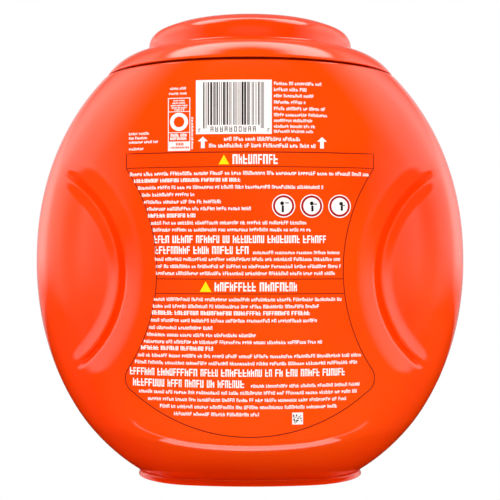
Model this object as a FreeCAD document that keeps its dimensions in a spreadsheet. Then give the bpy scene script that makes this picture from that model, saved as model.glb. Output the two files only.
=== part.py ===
"""A tub for laundry pods: a bellied moulded tub with finger grips, a twist-off domed lid,
its seal ring and the printed films on the two broad panels. Millimetres, +Z up.

The printed back faces -Y. The origin is the middle of the foot, on the ground.
"""
import FreeCAD
import Part
import Sketcher
import math
import os
import re

SIZES = {
    # tub seen from the back: a broad round belly that narrows to a small foot
    "tub_width": 238.4,
    "belly_height": 119.2,
    "belly_rise": 133.8,
    "belly_power": 2.071,
    # tub seen from above: two gently curved panels joined by tighter rounded sides
    "panel_depth": 156.0,
    "panel_radius": 160.0,
    # where the panels turn under towards the foot
    "under_edge": 31.5,
    "under_lift": 4.0,
    "under_round": 8.0,
    "under_angle": 50.0,
    # foot
    "foot_width": 124.8,
    "foot_depth": 81.0,
    "foot_height": 2.8,
    "foot_waist": 74.0,
    "base_recess": 0.9,
    "base_margin": 7.0,
    # walls
    "wall": 1.3,
    "floor_wall": 1.8,
    "shoulder_wall": 1.8,
    # shoulder: the level top of the belly, with a rounded edge, that the lid closes down on
    "shoulder_height": 219.6,
    "shoulder_round": 1.0,
    # finger grips, one at each side of each panel, with a groove along their inner edge
    "grip_across": 124.5,
    "grip_height": 112.7,
    "grip_radius": 59.5,
    "grip_depth": 9.0,
    "grip_slope": 17.0,
    "grip_rim": 7.0,
    "grip_fade": 24.0,
    "groove_width": 2.4,
    "groove_depth": 1.1,
    "groove_top": 62.0,
    "groove_bottom": 53.0,
    # neck, set in from the lid's edge, and its outside thread
    "neck_inset": 16.4,
    "neck_wall": 1.6,
    "neck_rise": 9.8,
    "thread_lead": 18.0,
    "thread_count": 4,
    "thread_arc": 55.0,
    "thread_reach": 1.5,
    "thread_root": 2.2,
    "thread_crest": 1.2,
    "thread_start": 4.6,
    "thread_sink": 0.4,
    "thread_clearance": 0.5,
    # lid
    "lid_radius": 79.4,
    "lid_wall": 1.5,
    "lid_gap": 1.0,
    "lid_skirt": 0.6,
    "dome_radius": 31.5,
    "dome_rise": 12.7,
    "disc_radius": 57.4,
    "disc_fillet": 1.2,
    "disc_draft": 0.8,
    "disc_wall": 2.9,
    "bend_radius": 8.6,
    "bend_inset": 4.6,
    "bend_rise": 7.5,
    "crown_radius": 50.7,
    "crown_inset": 20.9,
    "crown_rise": 5.5,
    "disc_crown": 0.4,
    "seat_width": 4.6,
    "socket_wall": 1.6,
    # seal ring between the neck and the lid
    "seal_thickness": 1.2,
    "seal_overhang": 0.9,
    "seal_clearance": 0.1,
    # printed films on the panels
    "film": 0.15,
    "film_gap": 0.02,
    "print_half": 62.5,
    "print_top": 173.5,
    "print_side": 166.0,
    "print_waist": 47.2,
    "print_hip": 61.5,
    "print_hip_height": 65.0,
    "print_hip_inset": 3.0,
    "print_hip_fall": 12.0,
    "print_hip_round": 8.0,
    "print_bottom": 32.3,
    "print_bottom_round": 92.3,
    "code_width": 38.0,
    "code_height": 27.4,
    "code_across": -8.2,
    "code_middle": 195.6,
}

COLUMNS = 32          # surface points along each quarter of the tub
BELLY_ROWS = 36       # surface points up the belly
STEEPEST = 2.6        # the most that a wall's inset grows where the wall leans

doc = FreeCAD.newDocument("PodTub")
sheet = doc.addObject("Spreadsheet::Sheet", "Sizes")
for row, (alias, number) in enumerate(SIZES.items(), start=1):
    sheet.set(f"A{row}", alias)
    sheet.set(f"B{row}", str(number))
    sheet.setAlias(f"B{row}", alias)
doc.recompute()


def tied(text):
    """The expression with each size written as a cell of the sheet."""
    return re.sub(r"[a-z]+(_[a-z]+)*", lambda word: "Sizes." + word[0] if word[0] in SIZES else word[0], text)


def value(text):
    return float(sheet.evalExpression(tied(text)))


def bind(item, **expressions):
    for name, text in expressions.items():
        item.setExpression(name.replace("__", "."), tied(text))
    return item


def point(x, y, z):
    return FreeCAD.Vector(x, y, z)


# Sketches: closed chains of lines and arcs whose corners are tied to the sheet.

def arc_between(start, end, radius, turns_left):
    """A circular arc under half a turn, and whether the chain runs along it backwards."""
    middle = (start + end) * 0.5
    chord = end - start
    side = point(-chord.y, chord.x, 0).normalize()
    height = math.sqrt(radius ** 2 - (chord.Length / 2) ** 2)
    centre = middle + side * (height if turns_left else -height)
    first, last = (start, end) if turns_left else (end, start)
    angles = [math.atan2(spot.y - centre.y, spot.x - centre.x) for spot in (first, last)]
    circle = Part.Circle(centre, point(0, 0, 1), radius)
    return Part.ArcOfCircle(circle, *angles), not turns_left


def draw(sketch, corners, arcs=None):
    """Join corners (x, y) in a closed chain. arcs maps the number of the corner that an
    arc leaves to (radius, turns_left)."""
    arcs = arcs or {}
    spots = [point(value(x), value(y), 0) for x, y in corners]
    ends = []
    for i, start in enumerate(spots):
        finish = spots[(i + 1) % len(spots)]
        backwards = False
        edge = Part.LineSegment(start, finish)
        if i in arcs:
            radius, turns_left = arcs[i]
            edge, backwards = arc_between(start, finish, value(radius), turns_left)
        sketch.addGeometry(edge, False)
        ends.append((2, 1) if backwards else (1, 2))
    for i, (x, y) in enumerate(corners):
        before = i - 1 if i else len(corners) - 1
        sketch.addConstraint(Sketcher.Constraint("Coincident", before, ends[before][1], i, ends[i][0]))
        for direction, text, length in (("X", x, spots[i].x), ("Y", y, spots[i].y)):
            rule = Sketcher.Constraint("Distance" + direction, -1, 1, i, ends[i][0], length)
            sketch.renameConstraint(sketch.addConstraint(rule), f"{direction.lower()}_of_{i}")
            sketch.setExpression(f"Constraints.{direction.lower()}_of_{i}", tied(text))
        if i in arcs:
            rule = Sketcher.Constraint("Radius", i, value(arcs[i][0]))
            sketch.renameConstraint(sketch.addConstraint(rule), f"radius_of_{i}")
            sketch.setExpression(f"Constraints.radius_of_{i}", tied(arcs[i][0]))
    return sketch


def flat_sketch(body, name, role):
    """A sketch on one of the body's own origin planes."""
    sketch = body.newObject("Sketcher::SketchObject", name)
    plane = next(plane for plane in body.Origin.OriginFeatures if plane.Role == role)
    sketch.AttachmentSupport = [(plane, "")]
    sketch.MapMode = "FlatFace"
    return sketch


def revolved(body, name, corners, arcs=None):
    """A full revolution about the upright axis of a profile of (radius, height) corners."""
    sketch = draw(flat_sketch(body, name + "Profile", "XZ_Plane"), corners, arcs)
    turned = body.newObject("PartDesign::Revolution", name)
    turned.Profile = sketch
    turned.ReferenceAxis = (sketch, ["V_Axis"])
    turned.Angle = 360
    doc.recompute()
    return turned


# The belly: level sections made of four tangent arcs, two panel arcs and two side arcs.

def smooth(share):
    share = min(1.0, max(0.0, share))
    return share * share * (3 - 2 * share)


def side_reach(z):
    """Half the tub's width at a height."""
    share = abs(z - value_of["belly_height"]) / value_of["belly_rise"]
    power = value_of["belly_power"]
    return value_of["tub_width"] / 2 * (1 - share ** power) ** (1 / power)


def panel_reach(z):
    """Half the tub's depth at a height: upright, then rounded under, then in to the foot."""
    full = value_of["panel_depth"] / 2
    turn = math.radians(value_of["under_angle"])
    bend = value_of["under_round"]
    drop = value_of["under_edge"] - z
    if drop <= 0:
        return full
    if drop <= bend * math.sin(turn):
        return full - bend + math.sqrt(bend ** 2 - drop ** 2)
    below = drop - bend * math.sin(turn)
    run = value_of["under_edge"] - bend * math.sin(turn) - value_of["foot_height"]
    start = full - bend * (1 - math.cos(turn))
    steepening = (start - value_of["foot_waist"] / 2 - run * math.tan(turn)) / run ** 2
    return start - below * math.tan(turn) - steepening * below ** 2


def side_arc(width, depth):
    """Radius and centre of the side arc that is tangent to both panel arcs."""
    panel = value_of["panel_radius"]
    radius = (panel ** 2 - width ** 2 - (panel - depth) ** 2) / (2 * (panel - width))
    return radius, width - radius


def depth_at(x, width, depth):
    """How far a section reaches towards the panel at a place across it."""
    panel = value_of["panel_radius"]
    radius, centre = side_arc(width, depth)
    tangent = panel * centre / math.hypot(centre, panel - depth)
    if x < tangent:
        return math.sqrt(panel ** 2 - x ** 2) - panel + depth
    return math.sqrt(max(0.0, radius ** 2 - (x - centre) ** 2))


def across(share, width, depth):
    """The place across a section at a share of the way from its side to its middle."""
    panel = value_of["panel_radius"]
    radius, centre = side_arc(width, depth)
    turn = math.atan2(panel - depth, centre)
    way = share * (radius * turn + panel * (math.pi / 2 - turn))
    if way < radius * turn:
        return centre + radius * math.cos(way / radius)
    return panel * math.cos(turn + (way - radius * turn) / panel)


def grip(x, z):
    """How deep the finger grips sink below the plain surface."""
    inside = value_of["grip_radius"] - math.hypot(x - value_of["grip_across"], z - value_of["grip_height"])
    from_side = side_reach(z) - x - value_of["grip_rim"]
    return value_of["grip_depth"] * smooth(inside / value_of["grip_slope"]) * smooth(from_side / value_of["grip_fade"])


def lift(x, z):
    """How much higher than in the middle a panel turns under, away from its middle."""
    rise = (z - value_of["foot_height"]) / (value_of["under_edge"] - value_of["foot_height"])
    return value_of["under_lift"] * min(1.0, x / value_of["print_half"]) ** 2 * smooth(rise)


def steepness(reach, z):
    """Length of the wall's slope per millimetre of height, for an even wall."""
    step = 0.2
    slope = (reach(z + step) - reach(z - step)) / (2 * step)
    return min(STEEPEST, math.hypot(1, slope))


def belly_row(z, inset):
    """One level row of surface points of the belly, inset by a wall."""
    width = side_reach(z) - inset * steepness(side_reach, z)
    row = []
    for k in range(COLUMNS):
        plain = panel_reach(z) - inset * steepness(panel_reach, z)
        x = across((k + 0.5) / COLUMNS, width, plain)
        raised = z - lift(x, z)
        depth = panel_reach(raised) - inset * steepness(panel_reach, raised)
        row.append((x, depth_at(x, width, depth) - grip(x, z), z))
    return row


def plain_row(z, width, depth):
    """One level row of a plain section."""
    places = [across((k + 0.5) / COLUMNS, width, depth) for k in range(COLUMNS)]
    return [(x, depth_at(x, width, depth), z) for x in places]


def around(row):
    """A quarter row mirrored into the whole way round."""
    quarter = [point(*spot) for spot in row]
    half = quarter + [point(-spot.x, spot.y, spot.z) for spot in reversed(quarter)]
    return half + [point(spot.x, -spot.y, spot.z) for spot in reversed(half)]


def form(name, rows):
    """A solid with a smooth side surface through the rows and flat ends."""
    rings = [around(row) for row in rows]
    poles = [list(column) for column in zip(*rings)]
    count, height = len(poles), len(rows)
    surface = Part.BSplineSurface()
    surface.buildFromPolesMultsKnots(
        poles, [1] * (count + 1), [4] + [1] * (height - 4) + [4],
        list(range(count + 1)), list(range(height - 2)), True, False, 3, 3)
    skin = surface.toShape()
    rims = [edge for edge in skin.Edges if edge.isClosed() and edge.BoundBox.ZLength < 1e-6]
    shell = Part.makeShell([skin] + [Part.Face(Part.Wire([rim])) for rim in rims])
    shell.sewShape()
    solid = Part.makeSolid(shell)
    if solid.Volume < 0:
        solid.reverse()
    feature = doc.addObject("Part::Feature", name)
    feature.Shape = solid
    feature.Placement = FreeCAD.Placement()
    return feature


def spread(low, high, count):
    return [low + (high - low) * k / (count - 1) for k in range(count)]


value_of = {alias: float(sheet.get(alias)) for alias in SIZES}
foot = value_of["foot_height"]
shoulder_edge = value_of["shoulder_height"] - value_of["shoulder_round"]


def foot_rows():
    """The flared foot, and the narrow waist where the belly grows out of it."""
    wide, deep = value_of["foot_width"] / 2, value_of["foot_depth"] / 2
    waist = value_of["foot_waist"] / 2
    heights = [0.0, foot * 0.2, foot * 0.45, foot * 0.72]
    rows = []
    for z in heights:
        share = smooth(z / foot * 1.1)
        rows.append(plain_row(z, wide + (side_reach(foot) - wide) * share * 0.5, deep + (waist - deep) * share))
    return rows


def belly_heights(low, high):
    """Heights up the belly, closer together where the panels turn under."""
    close = value_of["under_edge"] + value_of["under_lift"]
    steps = spread(low, close, BELLY_ROWS // 3)
    return steps + spread(close, high, BELLY_ROWS * 2 // 3)[1:]


def edge_rows():
    """The rounded edge of the shoulder."""
    bend = value_of["shoulder_round"]
    rows = []
    for turn in (30, 55, 75, 90):
        z = shoulder_edge + bend * math.sin(math.radians(turn))
        inward = bend * (1 - math.cos(math.radians(turn)))
        rows.append(plain_row(z, side_reach(z) - inward, panel_reach(z) - inward))
    return rows


outer = form("TubOutside",
             foot_rows() + [belly_row(z, 0) for z in belly_heights(foot, shoulder_edge)] + edge_rows())
ceiling = value_of["shoulder_height"] - value_of["shoulder_wall"]
floor = value_of["base_recess"] + value_of["floor_wall"]
inner = form("TubInside", [belly_row(z, value_of["wall"]) for z in belly_heights(floor, ceiling)])


def cylinder(name, radius, low, high):
    """An upright cylinder about the tub's axis between two heights."""
    drum = doc.addObject("Part::Cylinder", name)
    return bind(drum, Radius=radius, Height=f"({high}) - ({low})", Placement__Base__z=low)


def cut(name, base, tool):
    made = doc.addObject("Part::Cut", name)
    made.Base = base
    made.Tool = tool
    return made


def fuse(name, *shapes):
    made = doc.addObject("Part::MultiFuse", name)
    made.Shapes = list(shapes)
    return made


def grooves():
    """Curved channels along the inner edges of the grips, as deep as the groove."""
    deep = form("GrooveBed", [belly_row(z, value_of["groove_depth"]) for z in belly_heights(foot + 2, ceiling)])
    rings = []
    for side in (1, -1):
        drums = []
        for kind, edge in (("Outer", "+"), ("Inner", "-")):
            drum = doc.addObject("Part::Cylinder", f"Groove{kind}{'Right' if side > 0 else 'Left'}")
            bind(drum, Radius=f"grip_radius {edge} groove_width / 2", Height="panel_depth * 1.2",
                 Angle="groove_top + groove_bottom", Placement__Base__x=f"{side} * grip_across",
                 Placement__Base__y="panel_depth * 0.6", Placement__Base__z="grip_height")
            drums.append(drum)
        for drum in drums:
            start = 180 - value_of["groove_top"] if side > 0 else -value_of["groove_bottom"]
            lay = FreeCAD.Rotation(point(1, 0, 0), 90)
            drum.Placement.Rotation = lay.multiply(FreeCAD.Rotation(point(0, 0, 1), start))
        rings.append(cut("GrooveRing" + ("Right" if side > 0 else "Left"), *drums))
    return cut("Grooves", fuse("GrooveRings", *rings), deep)


def thread(body, name, radius, reach, low):
    """Equal helical ridges round the body, standing out (reach) or in (-reach)."""
    sketch = flat_sketch(body, name + "Profile", "XZ_Plane")
    sink = f"({radius}) + thread_sink" if reach.startswith("-") else f"({radius}) - thread_sink"
    tip = f"({radius}) + ({reach})"
    draw(sketch, [
        (sink, f"({low}) - thread_root / 2"),
        (tip, f"({low}) - thread_crest / 2"),
        (tip, f"({low}) + thread_crest / 2"),
        (sink, f"({low}) + thread_root / 2"),
    ])
    ridge = body.newObject("PartDesign::AdditiveHelix", name)
    ridge.Profile = sketch
    ridge.ReferenceAxis = (sketch, ["V_Axis"])
    ridge.Mode = 0
    bind(ridge, Pitch="thread_lead", Height="thread_lead * thread_arc / 360", Turns="thread_arc / 360")
    doc.recompute()
    starts = body.newObject("PartDesign::PolarPattern", name + "Starts")
    starts.Originals = [ridge]
    starts.Axis = (sketch, ["V_Axis"])
    starts.Angle = 360
    bind(starts, Occurrences="thread_count")
    body.Tip = starts
    doc.recompute()
    return starts


NECK = "(lid_radius - neck_inset)"
BORE = f"({NECK} - neck_wall)"

neck = doc.addObject("PartDesign::Body", "Neck")
neck.Label = "tub_neck"
revolved(neck, "NeckWall", [
    (BORE, "shoulder_height"),
    (NECK, "shoulder_height"),
    (NECK, "shoulder_height + neck_rise"),
    (BORE, "shoulder_height + neck_rise"),
])
thread(neck, "NeckThread", NECK, "thread_reach", "shoulder_height + thread_start")

mouth = cylinder("Mouth", BORE, "shoulder_height - shoulder_wall * 2", "shoulder_height + 1")
push_up = doc.addObject("Part::Ellipse", "BaseOutline")
bind(push_up, MajorRadius="foot_width / 2 - base_margin", MinorRadius="foot_depth / 2 - base_margin")
base = doc.addObject("Part::Extrusion", "BaseRecess")
base.Base = push_up
base.Dir = point(0, 0, 1)
base.Solid = True
bind(base, LengthFwd="base_recess")

walls = cut("Walls", outer, inner)
grooved = cut("Grooved", walls, grooves())
opened = cut("Opened", grooved, mouth)
tub = cut("Tub", opened, base)
tub.Label = "tub"

# The lid: domed band, raised and crowned disc, and inside it the threaded socket and its seat.

lid = doc.addObject("PartDesign::Body", "Lid")
lid.Label = "lid"
EDGE = "shoulder_height + lid_gap"
SKIRT_TOP = f"({EDGE} + lid_skirt)"
DOME_TOP = f"({SKIRT_TOP} + dome_rise)"
DISC_EDGE = f"({DOME_TOP} + disc_fillet + disc_wall)"
BEND_TOP = f"({DISC_EDGE} + bend_rise)"
CROWN_EDGE = f"({BEND_TOP} + crown_rise)"
LID_TOP = f"({CROWN_EDGE} + disc_crown)"
SEAT = "shoulder_height + neck_rise + seal_thickness + 2 * seal_clearance"
SOCKET = f"{NECK} + thread_reach + thread_clearance"
SOCKET_OUT = f"({SOCKET} + socket_wall)"
DOME_IN = "(disc_radius + disc_fillet)"
BEND_IN = "disc_radius - disc_draft - bend_inset"
CROWN_IN = "disc_radius - disc_draft - bend_inset - crown_inset"
# the middle of the dome's arc, which its underside shares
DOME_RUN = f"(lid_radius - {DOME_IN})"
DOME_CHORD = f"sqrt({DOME_RUN} ^ 2 + dome_rise ^ 2)"
DOME_OFF = f"sqrt(dome_radius ^ 2 - {DOME_CHORD} ^ 2 / 4)"
DOME_ACROSS = f"((lid_radius + {DOME_IN}) / 2 - {DOME_OFF} * dome_rise / {DOME_CHORD})"
DOME_UP = f"({SKIRT_TOP} + dome_rise / 2 - {DOME_OFF} * {DOME_RUN} / {DOME_CHORD})"
UNDER_RADIUS = "(dome_radius - lid_wall)"
UNDER_EDGE = f"{DOME_ACROSS} + sqrt({UNDER_RADIUS} ^ 2 - ({EDGE} - {DOME_UP}) ^ 2)"
UNDER_SOCKET = f"{DOME_UP} + sqrt({UNDER_RADIUS} ^ 2 - ({SOCKET_OUT} - {DOME_ACROSS}) ^ 2)"
revolved(lid, "LidShell", [
    (UNDER_EDGE, EDGE),
    ("lid_radius", EDGE),
    ("lid_radius", SKIRT_TOP),
    (DOME_IN, DOME_TOP),
    ("disc_radius", f"{DOME_TOP} + disc_fillet"),
    ("disc_radius - disc_draft", DISC_EDGE),
    (BEND_IN, BEND_TOP),
    (CROWN_IN, CROWN_EDGE),
    ("0", LID_TOP),
    ("0", f"{LID_TOP} - lid_wall"),
    (CROWN_IN, f"{CROWN_EDGE} - lid_wall"),
    (f"{BEND_IN} - lid_wall / 2", f"{BEND_TOP} - lid_wall"),
    ("disc_radius - disc_draft - lid_wall", DISC_EDGE),
    ("disc_radius - lid_wall", f"{DOME_TOP} - lid_wall"),
    (f"{SOCKET} - seat_width", f"{DOME_TOP} - lid_wall * 1.2"),
    (f"{SOCKET} - seat_width", SEAT),
    (SOCKET, SEAT),
    (SOCKET, EDGE),
    (SOCKET_OUT, EDGE),
    (SOCKET_OUT, UNDER_SOCKET),
], arcs={
    2: ("dome_radius", True),
    3: ("disc_fillet * 1.3", False),
    5: ("bend_radius", True),
    6: ("crown_radius", True),
    10: ("crown_radius", False),
    11: ("bend_radius", False),
    19: (UNDER_RADIUS, False),
})
thread(lid, "LidThread", SOCKET, "-thread_reach",
       "shoulder_height + thread_start - thread_lead / thread_count / 2")

# The seal ring lies on the neck's rim and carries the lid's seat.

seal = doc.addObject("PartDesign::Body", "Seal")
seal.Label = "seal_ring"
SEAL_LOW = "shoulder_height + neck_rise + seal_clearance"
revolved(seal, "SealRing", [
    (f"{BORE} - seal_overhang", SEAL_LOW),
    (f"{NECK} + seal_overhang", SEAL_LOW),
    (f"{NECK} + seal_overhang", f"{SEAL_LOW} + seal_thickness"),
    (f"{BORE} - seal_overhang", f"{SEAL_LOW} + seal_thickness"),
])

# The printed films: pieces of a thin upright drum that lies on the panel.


def film(label, facing, corners, arcs=None):
    """A film with the outline given across and up, on the back (-1) or front (1) panel."""
    drums = []
    for kind, radius in (("Outer", "panel_radius + film_gap + film"), ("Inner", "panel_radius + film_gap")):
        drum = cylinder(f"{label}_{kind}", radius, "under_edge", "shoulder_height")
        bind(drum, Placement__Base__y=f"{-facing} * (panel_radius - panel_depth / 2)")
        drums.append(drum)
    shape = draw(doc.addObject("Sketcher::SketchObject", label + "_outline"), corners, arcs)
    shape.Placement = FreeCAD.Placement(point(0, 0, 0), FreeCAD.Rotation(point(1, 0, 0), 90))
    block = doc.addObject("Part::Extrusion", label + "_block")
    block.Base = shape
    block.Dir = point(0, facing, 0)
    block.Solid = True
    bind(block, LengthFwd="panel_depth")
    made = doc.addObject("Part::Common", label)
    made.Base = cut(label + "_drum", *drums)
    made.Tool = block
    return made


def panel_corners():
    """The waisted outline of the printed panel, the right side down and the left side up."""
    right = [
        ("print_half", "print_top"),
        ("print_half", "print_side"),
        ("print_hip", "print_hip_height"),
        ("print_hip - print_hip_inset", "print_hip_height - print_hip_fall"),
    ]
    bottom = [("0", "print_bottom")]
    left = [("-(" + x + ")", y) for x, y in reversed(right)]
    return right + bottom + left


WAIST_INSET = "(print_half - print_waist)"
WAIST_ROUND = f"((print_side - print_hip_height) ^ 2 / 4 + {WAIST_INSET} ^ 2) / 2 / {WAIST_INSET}"
PANEL_ARCS = {
    1: (WAIST_ROUND, True), 2: ("print_hip_round", False), 3: ("print_bottom_round", False),
    4: ("print_bottom_round", False), 5: ("print_hip_round", False), 6: (WAIST_ROUND, True),
}

back_film = film("back_print_film", -1, panel_corners(), PANEL_ARCS)
front_film = film("front_print_film", 1, panel_corners(), PANEL_ARCS)
code_film = film("code_print_film", -1, [
    ("code_across - code_width / 2", "code_middle - code_height / 2"),
    ("code_across + code_width / 2", "code_middle - code_height / 2"),
    ("code_across + code_width / 2", "code_middle + code_height / 2"),
    ("code_across - code_width / 2", "code_middle + code_height / 2"),
])

doc.recompute()

PARTS = [tub, neck, lid, seal, back_film, front_film, code_film]
for item in doc.Objects:
    if "Invalid" in item.State or "Error" in item.State:
        raise RuntimeError(f"{item.Name} did not build: {item.State}")
for item in PARTS:
    if item.Shape.isNull() or not item.Shape.isValid():
        raise RuntimeError(f"{item.Label} has no valid shape")

os.makedirs("parts", exist_ok=True)
for item in PARTS:
    item.Shape.exportStep(f"parts/{item.Label}.step")
    box = item.Shape.BoundBox
    print(item.Label, len(item.Shape.Solids), round(item.Shape.Volume), [round(v, 2) for v in (
        box.XMin, box.YMin, box.ZMin, box.XMax, box.YMax, box.ZMax)])
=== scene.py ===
import bpy
import bmesh
import math
import random
from mathutils import Matrix, Vector


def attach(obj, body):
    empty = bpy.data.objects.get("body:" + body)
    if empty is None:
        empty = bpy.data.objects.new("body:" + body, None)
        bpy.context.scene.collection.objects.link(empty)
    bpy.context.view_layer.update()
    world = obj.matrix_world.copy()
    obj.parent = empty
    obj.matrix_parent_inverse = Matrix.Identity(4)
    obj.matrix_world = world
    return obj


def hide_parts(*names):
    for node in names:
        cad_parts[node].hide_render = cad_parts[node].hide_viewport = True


# a bellied laundry pod tub, seen from its printed back; sizes are in millimetres until a mesh is finished
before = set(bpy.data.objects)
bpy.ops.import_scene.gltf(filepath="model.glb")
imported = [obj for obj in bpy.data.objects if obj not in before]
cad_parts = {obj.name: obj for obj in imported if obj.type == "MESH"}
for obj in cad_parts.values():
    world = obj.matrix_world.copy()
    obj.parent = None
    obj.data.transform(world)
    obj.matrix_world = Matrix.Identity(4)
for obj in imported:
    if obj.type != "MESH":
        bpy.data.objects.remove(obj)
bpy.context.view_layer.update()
mm = 0.001
print("frame loaded")


def smooth(share):
    share = min(1.0, max(0.0, share))
    return share * share * (3 - 2 * share)


def linear(text):
    channels = [int(text[k:k + 2], 16) / 255 for k in (1, 3, 5)]
    lit = [c / 12.92 if c <= 0.04045 else ((c + 0.055) / 1.055) ** 2.4 for c in channels]
    return (lit[0], lit[1], lit[2], 1.0)


def addNode(tree, kind, values=None, **settings):
    node = tree.nodes.new(kind)
    for name, value in settings.items():
        setattr(node, name, value)
    for name, value in (values or {}).items():
        if isinstance(value, bpy.types.NodeSocket):
            tree.links.new(value, node.inputs[name])
        else:
            node.inputs[name].default_value = value
    return node


def newMaterial(name):
    material = bpy.data.materials.new(name)
    material.use_nodes = True
    tree = material.node_tree
    tree.nodes.clear()
    return material, tree


def finishMaterial(tree, shader):
    addNode(tree, "ShaderNodeOutputMaterial", {"Surface": shader.outputs[0]})


# most values of a noise texture lie between these two
noiseLow, noiseHigh = 0.3, 0.7


def colourBlend(tree, factor, first, second):
    ramp = addNode(tree, "ShaderNodeValToRGB", {"Fac": factor})
    ramp.color_ramp.elements[0].position = noiseLow
    ramp.color_ramp.elements[0].color = linear(first)
    ramp.color_ramp.elements[1].position = noiseHigh
    ramp.color_ramp.elements[1].color = linear(second)
    return ramp.outputs["Color"]


def toPiece(mesh, name, material, body, angle=40):
    bmesh.ops.scale(mesh, vec=(mm, mm, mm), verts=mesh.verts)
    data = bpy.data.meshes.new(name)
    mesh.to_mesh(data)
    mesh.free()
    data.shade_smooth()
    data.set_sharp_from_angle(angle=math.radians(angle))
    data.materials.append(material)
    piece = bpy.data.objects.new(name, data)
    bpy.context.scene.collection.objects.link(piece)
    if body:
        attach(piece, body)
    return piece


# the tub's form: level sections of four tangent arcs, two panel arcs and two side arcs
belly = {
    "halfWidth": 119.2, "middle": 119.2, "rise": 133.8, "power": 2.071,
    "panelReach": 78.0, "panelRadius": 160.0,
    "underEdge": 31.5, "underLift": 4.0, "underRound": 8.0, "underAngle": 50.0,
    "footWidth": 124.8, "footDepth": 81.0, "footHeight": 2.8, "footWaist": 37.0,
    "printHalf": 62.5, "wall": 1.3, "steepest": 2.6,
}
gripShape = {
    "across": 124.5, "height": 112.7, "radius": 59.5, "rim": 7.0, "fade": 24.0,
    "shoulder": 2.5, "shoulderStart": -12.0, "shoulderRun": 13.0,
    "wall": 2.6, "wallStart": 0.5, "wallRun": 8.0, "scoop": -0.8, "scoopStart": 7.0, "scoopRun": 26.0,
    "crease": 3.0, "creaseHalf": 1.4, "creaseTop": 62.0, "creaseBottom": 53.0, "creaseEnd": 5.0,
}


def sideReach(z):
    share = abs(z - belly["middle"]) / belly["rise"]
    power = belly["power"]
    return belly["halfWidth"] * (1 - share ** power) ** (1 / power)


def panelReach(z):
    full = belly["panelReach"]
    turn = math.radians(belly["underAngle"])
    bend = belly["underRound"]
    drop = belly["underEdge"] - z
    if drop <= 0:
        return full
    if drop <= bend * math.sin(turn):
        return full - bend + math.sqrt(bend ** 2 - drop ** 2)
    below = drop - bend * math.sin(turn)
    run = belly["underEdge"] - bend * math.sin(turn) - belly["footHeight"]
    start = full - bend * (1 - math.cos(turn))
    steepening = (start - belly["footWaist"] - run * math.tan(turn)) / run ** 2
    return start - below * math.tan(turn) - steepening * below ** 2


def sideArc(width, depth):
    panel = belly["panelRadius"]
    radius = (panel ** 2 - width ** 2 - (panel - depth) ** 2) / (2 * (panel - width))
    return radius, width - radius


def depthAt(x, width, depth):
    panel = belly["panelRadius"]
    radius, centre = sideArc(width, depth)
    tangent = panel * centre / math.hypot(centre, panel - depth)
    if x < tangent:
        return math.sqrt(panel ** 2 - x ** 2) - panel + depth
    return math.sqrt(max(0.0, radius ** 2 - (x - centre) ** 2))


def sectionLengths(width, depth):
    panel = belly["panelRadius"]
    radius, centre = sideArc(width, depth)
    turn = math.atan2(panel - depth, centre)
    return panel * (math.pi / 2 - turn), radius * turn, radius, centre


# the share is that of the way along the skin, from the panel's middle to the side
def placeAcross(share, width, depth):
    flat, round_, radius, centre = sectionLengths(width, depth)
    way = share * (flat + round_)
    if way < flat:
        return belly["panelRadius"] * math.sin(way / belly["panelRadius"])
    return centre + radius * math.cos((flat + round_ - way) / radius)


def shareAcross(x, width, depth):
    flat, round_, radius, centre = sectionLengths(width, depth)
    tangent = belly["panelRadius"] * math.sin(flat / belly["panelRadius"])
    if x < tangent:
        return belly["panelRadius"] * math.asin(x / belly["panelRadius"]) / (flat + round_)
    return 1 - radius * math.acos(min(1.0, (x - centre) / radius)) / (flat + round_)


def gripDepth(x, z):
    shape = gripShape
    way = math.hypot(x - shape["across"], z - shape["height"])
    inside = shape["radius"] - way
    fromSide = smooth((sideReach(z) - x - shape["rim"]) / shape["fade"])
    sunk = shape["shoulder"] * smooth((inside - shape["shoulderStart"]) / shape["shoulderRun"])
    sunk += shape["wall"] * smooth((inside - shape["wallStart"]) / shape["wallRun"])
    sunk += shape["scoop"] * smooth((inside - shape["scoopStart"]) / shape["scoopRun"])
    angle = math.degrees(math.atan2(z - shape["height"], shape["across"] - x))
    past = max(angle - shape["creaseTop"], -angle - shape["creaseBottom"])
    ended = 1 - smooth(past / shape["creaseEnd"] + 0.5)
    cut = shape["crease"] * math.exp(-(inside / shape["creaseHalf"]) ** 2) * ended
    return (sunk + cut) * fromSide


def underRise(x, z):
    rise = (z - belly["footHeight"]) / (belly["underEdge"] - belly["footHeight"])
    return belly["underLift"] * min(1.0, x / belly["printHalf"]) ** 2 * smooth(rise)


def steepness(reach, z):
    near = 0.2
    slope = (reach(z + near) - reach(z - near)) / (2 * near)
    return min(belly["steepest"], math.hypot(1, slope))


def surfaceDepth(x, z, inset=0.0):
    width = sideReach(z) - inset * steepness(sideReach, z)
    raised = z - underRise(x, z)
    depth = panelReach(raised) - inset * steepness(panelReach, raised)
    return depthAt(x, width, depth) - gripDepth(x, z)


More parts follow.
